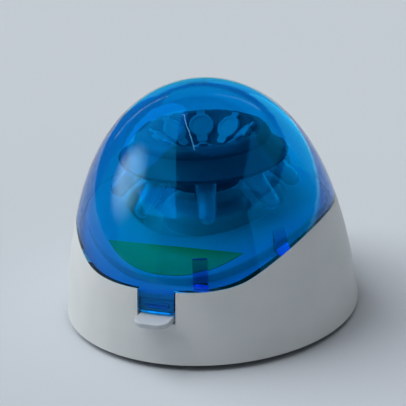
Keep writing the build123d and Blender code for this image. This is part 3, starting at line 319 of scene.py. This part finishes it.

# %% [markdown]
# The imported record says which finish each piece belongs to. The table below gives
# each slot its material. The caps, which share a slot with the tubes, get theirs by
# name, as does the latch, whose tone is painted a little greyer and bluer than the
# casing's as painted shade under the blue lid. A slot is a place on the object's mesh
# that holds a material.

# %% Give every imported piece its finish
FINISHES = {
    "white_casing": white_abs, "blue_lid": blue_polycarbonate, "yellow_label": label_film,
    "dark_cover": dark_abs, "black_rubber": soft_rubber, "zinc_screws": zinc_plate,
    "spring_steel": bright_steel, "steel_cup": cup_steel, "motor_iron": dull_iron,
    "black_nylon": black_nylon, "brass_parts": turned_brass, "green_board": board_lacquer,
    "capacitor_sleeve": sleeve_pvc, "bare_aluminium": aluminium, "white_nylon": white_nylon,
    "rotor_plastic": rotor_nylon, "tube_plastic": tube_polypropylene,
}
BY_NAME = {name: cap_polypropylene_painted_shade for name in nodes if name.startswith("tube_cap")}
BY_NAME["latch_slider"] = latch_abs_painted_shade
slot_of = {row["node"]: row["material_slot"] for row in frame["record"]["subparts"]}
for node_name, piece in nodes.items():
    finish = BY_NAME.get(node_name, FINISHES[slot_of[node_name]])
    for place_on_mesh in piece.material_slots:
        place_on_mesh.material = finish
print("finished pieces:", len(nodes))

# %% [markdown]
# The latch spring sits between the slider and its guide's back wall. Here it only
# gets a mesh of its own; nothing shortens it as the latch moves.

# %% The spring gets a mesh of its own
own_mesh(nodes["latch_spring"])

# %% [markdown]
# The photograph looks down at the front from a little to the right. The camera is
# set by its place round the object: how far round, how high, how far away, and a
# slight roll, because the picture isn't quite upright. The lens follows from how
# large the object is in the frame.

# %% The camera
CAMERA_ROUND_DEG = 22.15
CAMERA_UP_DEG = 22.04
CAMERA_ROLL_DEG = -3.645
CAMERA_AWAY = 0.7207
SENSOR_MM = 36
FAR_LIMIT = 20
FRAME_PX = 406
FOCAL_PX = 1382.8
AIM = Vector((0, 0, 55 * MM))
AIM_PX = (206.53, 205.92)

towards = direction(CAMERA_ROUND_DEG, CAMERA_UP_DEG)
side = direction(CAMERA_ROUND_DEG + 90, 0)
turn = Matrix((side, towards.cross(side), towards)).transposed()
yaw = math.atan((AIM_PX[0] - FRAME_PX / 2) / FOCAL_PX)
pitch = math.atan((FRAME_PX / 2 - AIM_PX[1]) / FOCAL_PX * math.cos(yaw))
turn = turn @ Matrix.Rotation(yaw, 3, "Y") @ Matrix.Rotation(-pitch, 3, "X")
turn = turn @ Matrix.Rotation(math.radians(CAMERA_ROLL_DEG), 3, "Z")

lens = bpy.data.cameras.new("studio_camera")
lens.sensor_width = SENSOR_MM
lens.lens = FOCAL_PX / FRAME_PX * SENSOR_MM
lens.clip_end = FAR_LIMIT
camera = bpy.data.objects.new("studio_camera", lens)
camera.matrix_world = Matrix.Translation(AIM + towards * CAMERA_AWAY) @ turn.to_4x4()
bpy.context.scene.collection.objects.link(camera)
bpy.context.scene.camera = camera
print("lens", round(lens.lens, 1), "mm")

# %% [markdown]
# The object stands on a pale grey sweep in a small light tent. Suns stand for the
# lamps outside its cloth, and panels for the cloth that glossy surfaces mirror. Clear
# glossy plastic shows mostly what it mirrors, so the tent matters more for the lid
# than the lamps' brightness does.

# %% The pale floor
def paper_with_painted_back_light():
    """Matt paper, painted paler towards the back as painted light, with a faint cloudiness."""
    cloud_width = 0.35
    cloud_share = 0.25
    front_y = -0.25
    back_y = 0.35
    finish, tree = new_finish("pale matt paper, painted paler at the back")
    place = put(tree, "ShaderNodeTexCoord").outputs["Object"]
    cloud = put(tree, "ShaderNodeTexNoise", {"Scale": 1 / cloud_width, "Detail": 2.0}, {"Vector": place})
    axes = put(tree, "ShaderNodeSeparateXYZ", None, {0: place})
    # Painted light: the tone climbs from front to back, standing in for the brighter light on the far part
    # of the sweep.
    depth = put(tree, "ShaderNodeMapRange", {"From Min": front_y, "From Max": back_y},
                {"Value": axes.outputs["Y"]})
    drift = put(tree, "ShaderNodeMath", {"operation": "MULTIPLY_ADD", 1: cloud_share},
                {0: cloud.outputs["Fac"], 2: depth.outputs["Result"]})
    colour = put(tree, "ShaderNodeMix", {"data_type": "RGBA", 6: linear("#c4cad2"), 7: linear("#cfd5da")},
                 {0: drift.outputs["Value"]})
    paper = put(tree, "ShaderNodeBsdfPrincipled", {"Roughness": 0.9, "Specular IOR Level": 0.1},
                {"Base Color": colour.outputs[2]})
    put(tree, "ShaderNodeOutputMaterial", None, {"Surface": paper.outputs["BSDF"]})
    return finish


def flat_sheet(name, size, finish):
    """A flat rectangle round its own origin."""
    half_w = size[0] / 2
    half_h = size[1] / 2
    mesh = bpy.data.meshes.new(name)
    corners = [(-half_w, -half_h, 0), (half_w, -half_h, 0), (half_w, half_h, 0), (-half_w, half_h, 0)]
    mesh.from_pydata(corners, [], [(0, 1, 2, 3)])
    mesh.materials.append(finish)
    sheet = bpy.data.objects.new(name, mesh)
    bpy.context.scene.collection.objects.link(sheet)
    return sheet


FLOOR_SIZE = (12.0, 12.0)
floor = flat_sheet("floor_sweep", FLOOR_SIZE, paper_with_painted_back_light())
print("floor", floor.dimensions[0], "m wide")

# %% [markdown]
# Two wide suns light everything: the key from the left, and a weak one from above
# that keeps the shadow on the right open. A wide angle gives the soft edge of a
# lamp behind cloth, and glossy surfaces don't mirror the suns. The world adds a
# little light from all round, is nearly dark to mirrors, and shows a pale backdrop to
# the camera.

# %% The light that reaches everything
def soft_sun(name, round_deg, up_deg, level, spread_deg):
    """Even light from one side. Level 1 shows a white surface that faces it as white."""
    lamp = bpy.data.lights.new(name, "SUN")
    lamp.energy = level * math.pi
    lamp.angle = math.radians(spread_deg)
    lamp.color = linear("#fbfdff")[:3]
    sun = bpy.data.objects.new(name, lamp)
    sun.rotation_euler = (math.radians(90 - up_deg), 0, math.radians(round_deg))
    sun.visible_glossy = False
    bpy.context.scene.collection.objects.link(sun)
    return sun


soft_sun("key_left", round_deg=-90, up_deg=48, level=0.80, spread_deg=56)
soft_sun("fill_above", round_deg=120, up_deg=84, level=0.20, spread_deg=60)

world = bpy.data.worlds.new("studio")
world.use_nodes = True
bpy.context.scene.world = world
air = world.node_tree
air.nodes.clear()
path = put(air, "ShaderNodeLightPath")
ambient = put(air, "ShaderNodeBackground", {"Color": linear("#e4eaf0"), "Strength": 0.16})
dim = put(air, "ShaderNodeBackground", {"Color": linear("#cfd8e0"), "Strength": 0.03})
backdrop = put(air, "ShaderNodeBackground", {"Color": linear("#c6cdd2"), "Strength": 1.0})
mirrored = put(air, "ShaderNodeMixShader", None,
               {0: path.outputs["Is Glossy Ray"], 1: ambient.outputs["Background"],
                2: dim.outputs["Background"]})
direct = put(air, "ShaderNodeMath", {"operation": "MAXIMUM"},
             {0: path.outputs["Is Camera Ray"], 1: path.outputs["Is Transmission Ray"]})
seen = put(air, "ShaderNodeMixShader", None,
           {0: direct.outputs["Value"], 1: mirrored.outputs["Shader"], 2: backdrop.outputs["Background"]})
put(air, "ShaderNodeOutputWorld", None, {"Surface": seen.outputs["Shader"]})
bpy.context.scene.view_settings.view_transform = "Standard"
print("suns:", [lamp.name for lamp in bpy.data.lights], "and the world:", world.name)

# %% [markdown]
# A clear dyed lid is judged by what it mirrors. The tent is built for it from flat
# panels that only mirrors see. Light that comes back from inside the dyed wall is
# blue, so the lid's panels carry that tint, and a light link keeps them off all other
# pieces.

# %% A panel that mirrors see
TENT_MIDDLE = Vector((0, 0, 80 * MM))
TENT_AWAY = 1.5


def card(name, centre, turn, size, level, tint, receivers):
    """A flat panel that glossy surfaces of its receivers see. Level 1 is as bright as white paper."""
    lamp = bpy.data.lights.new(name, "AREA")
    lamp.shape = "RECTANGLE"
    lamp.size, lamp.size_y = size
    lamp.energy = level * math.pi * size[0] * size[1]
    lamp.color = linear(tint)[:3]
    panel = bpy.data.objects.new(name, lamp)
    panel.location = centre
    panel.rotation_euler = turn
    panel.visible_camera = False
    panel.visible_diffuse = False
    panel.visible_volume_scatter = False
    panel.light_linking.receiver_collection = receivers
    bpy.context.scene.collection.objects.link(panel)
    return panel


def roof_panel(name, centre, size, turn_deg, level, tint, receivers):
    """A panel that lies level overhead, turned about the upright axis."""
    return card(name, centre, (0, 0, math.radians(turn_deg)), size, level, tint, receivers)


def wall_panel(name, round_deg, up_deg, size, level, tint, receivers):
    """A panel that faces the lid from a direction round and up."""
    out = direction(round_deg, up_deg)
    facing = (-out).to_track_quat("-Z", "Y").to_euler()
    return card(name, TENT_MIDDLE + out * TENT_AWAY, facing, size, level, tint, receivers)


lid_alone = bpy.data.collections.new("mirrored by the lid alone")
lid_alone.objects.link(nodes["lid_shell"])
all_others = bpy.data.collections.new("mirrored by all the others")
for other in [floor] + [piece for name, piece in nodes.items() if name != "lid_shell"]:
    all_others.objects.link(other)

# %% [markdown]
# The lid's shoulder mirrors the roof, and its side mirrors the walls. The roof is
# brightest at the front left, and stays open between its left and its right panels:
# the lid mirrors that gap as the dark window. The walls stand round the object like
# the staves of a barrel, bright on the right and at the front left, weaker elsewhere.

# %% The tent's roof and walls
ROOF_Z = 1.09
# name, middle, width and depth, degrees turned, level, tint
ROOF = (
    ("roof_left", (-1.10, -0.60, ROOF_Z), (1.6, 1.6), 3, 1.35, "#30f6f0"),
    ("roof_front_left", (-1.10, -2.00, ROOF_Z), (1.6, 1.2), 0, 2.4, "#00d8ff"),
    ("roof_back", (-0.10, 1.15, ROOF_Z), (1.8, 0.8), 8, 0.62, "#00f0ff"),
    ("roof_back_right", (1.25, 1.10, ROOF_Z), (1.0, 1.2), 15.4, 0.43, "#00fcd0"),
    ("roof_right", (1.55, 0.08, ROOF_Z), (1.1, 1.4), 27.6, 0.78, "#20f0ff"),
)
WALL_UP_DEG = 8
WALL_SIZE = (1.09, 0.75)
# name, degrees round, level, tint
WALLS = (
    ("wall_front_left", -40, 0.9, "#20ffb0"),
    ("wall_left", -80, 0.42, "#00fce8"),
    ("wall_back_left", -120, 0.25, "#00c0ff"),
    ("wall_back", -160, 0.56, "#50fcfc"),
    ("wall_back_right", 160, 1.05, "#50fcf4"),
    ("wall_right", 120, 1.05, "#00fcff"),
    ("wall_front_right", 80, 1.0, "#20f8ff"),
    ("wall_front", 40, 0.34, "#20f4d8"),
    ("wall_middle", 0, 0.40, "#00ffc0"),
)
for name, centre, size, turn_deg, level, tint in ROOF:
    roof_panel(name, centre, size, turn_deg, level, tint, lid_alone)
wall_panel("wall_middle_high", round_deg=5, up_deg=26, size=(0.8, 0.22), level=0.75, tint="#00e0ff",
           receivers=lid_alone)
for name, round_deg, level, tint in WALLS:
    wall_panel(name, round_deg, WALL_UP_DEG, WALL_SIZE, level, tint, lid_alone)
print("roof panels:", len(ROOF), "and walls:", len(WALLS) + 1)

# %% [markdown]
# The glow on the left is a lamp behind cloth: brightest in its middle and faded at
# its edge. Its panel is a sheet whose light falls off by a smooth round gradient in
# the sheet's own coordinates.

# %% The soft glow
def fading_light(name, size, level, tint):
    """Light that is brightest in a sheet's middle and fades to nothing at its edge."""
    finish, tree = new_finish(name)
    place = put(tree, "ShaderNodeTexCoord").outputs["Object"]
    to_unit = (1 / (size[0] / 2), 1 / (size[1] / 2), 1.0)
    lay = put(tree, "ShaderNodeMapping", {"Scale": to_unit}, {"Vector": place}).outputs["Vector"]
    fade = put(tree, "ShaderNodeTexGradient", {"gradient_type": "SPHERICAL"}, {"Vector": lay})
    bright = put(tree, "ShaderNodeMapRange",
                 {"interpolation_type": "SMOOTHSTEP", "From Max": 0.7, "To Max": level},
                 {"Value": fade.outputs["Fac"]})
    glow = put(tree, "ShaderNodeEmission", {"Color": linear(tint)}, {"Strength": bright.outputs["Result"]})
    clear = put(tree, "ShaderNodeBsdfTransparent")
    both = put(tree, "ShaderNodeAddShader", None, {0: glow.outputs["Emission"], 1: clear.outputs["BSDF"]})
    put(tree, "ShaderNodeOutputMaterial", None, {"Surface": both.outputs["Shader"]})
    return finish


def glow_sheet(name, round_deg, up_deg, size, level, tint):
    """A glowing sheet that only the lid mirrors."""
    out = direction(round_deg, up_deg)
    glowing = flat_sheet(name, size, fading_light(name, size, level, tint))
    glowing.location = TENT_MIDDLE + out * TENT_AWAY
    glowing.rotation_euler = (-out).to_track_quat("Z", "Y").to_euler()
    for kind in ("camera", "diffuse", "transmission", "volume_scatter", "shadow"):
        setattr(glowing, "visible_" + kind, False)
    glowing.light_linking.receiver_collection = lid_alone
    return glowing


left_glow = glow_sheet("glow_left", round_deg=-67, up_deg=24.5, size=(1.2, 1.12), level=8.0, tint="#ffe2cc")
print("glow:", [round(length, 2) for length in left_glow.dimensions[:2]], "m")

# %% [markdown]
# The seams of the tent let a little light past. On the lid they show as thin bright
# lines: one along the dark window, one at the lid's upper left, one at its top right.

# %% Bright seams of the tent
SEAM_TINT = "#ffe8d6"


def seam(name, start_deg, end_deg, width, level):
    """A narrow strip between two directions, each given as degrees round and degrees up."""
    start = TENT_MIDDLE + direction(*start_deg) * TENT_AWAY
    end = TENT_MIDDLE + direction(*end_deg) * TENT_AWAY
    centre = (start + end) / 2
    along = (end - start).normalized()
    across = along.cross(centre - TENT_MIDDLE).normalized()
    axes = Matrix((across, along, across.cross(along))).transposed()
    size = (width, (end - start).length)
    return card(name, centre, axes.to_euler(), size, level, SEAM_TINT, lid_alone)


seams = (
    seam("window_seam", (-114.5, 70), (5.8, 63), width=0.022, level=7.0),
    seam("left_seam", (-116.7, 11.2), (-137.5, 35), width=0.016, level=3.0),
    seam("right_seam", (-171.4, 47.6), (159, 30.9), width=0.016, level=3.0),
)
print("seams:", len(seams))

# %% [markdown]
# The casing, the rotor and the small parts have only a soft gloss. For them the tent
# is one plain wide panel on each side, brighter on the left.

# %% Panels that all other pieces mirror
CLOTH_TINT = "#f4f9ff"
wall_panel("tent_left", round_deg=-95, up_deg=35, size=(2.2, 1.6), level=0.7, tint=CLOTH_TINT,
           receivers=all_others)
wall_panel("tent_right", round_deg=80, up_deg=30, size=(2.0, 1.4), level=0.35, tint=CLOTH_TINT,
           receivers=all_others)
print("lamps in all:", len(bpy.data.lights))
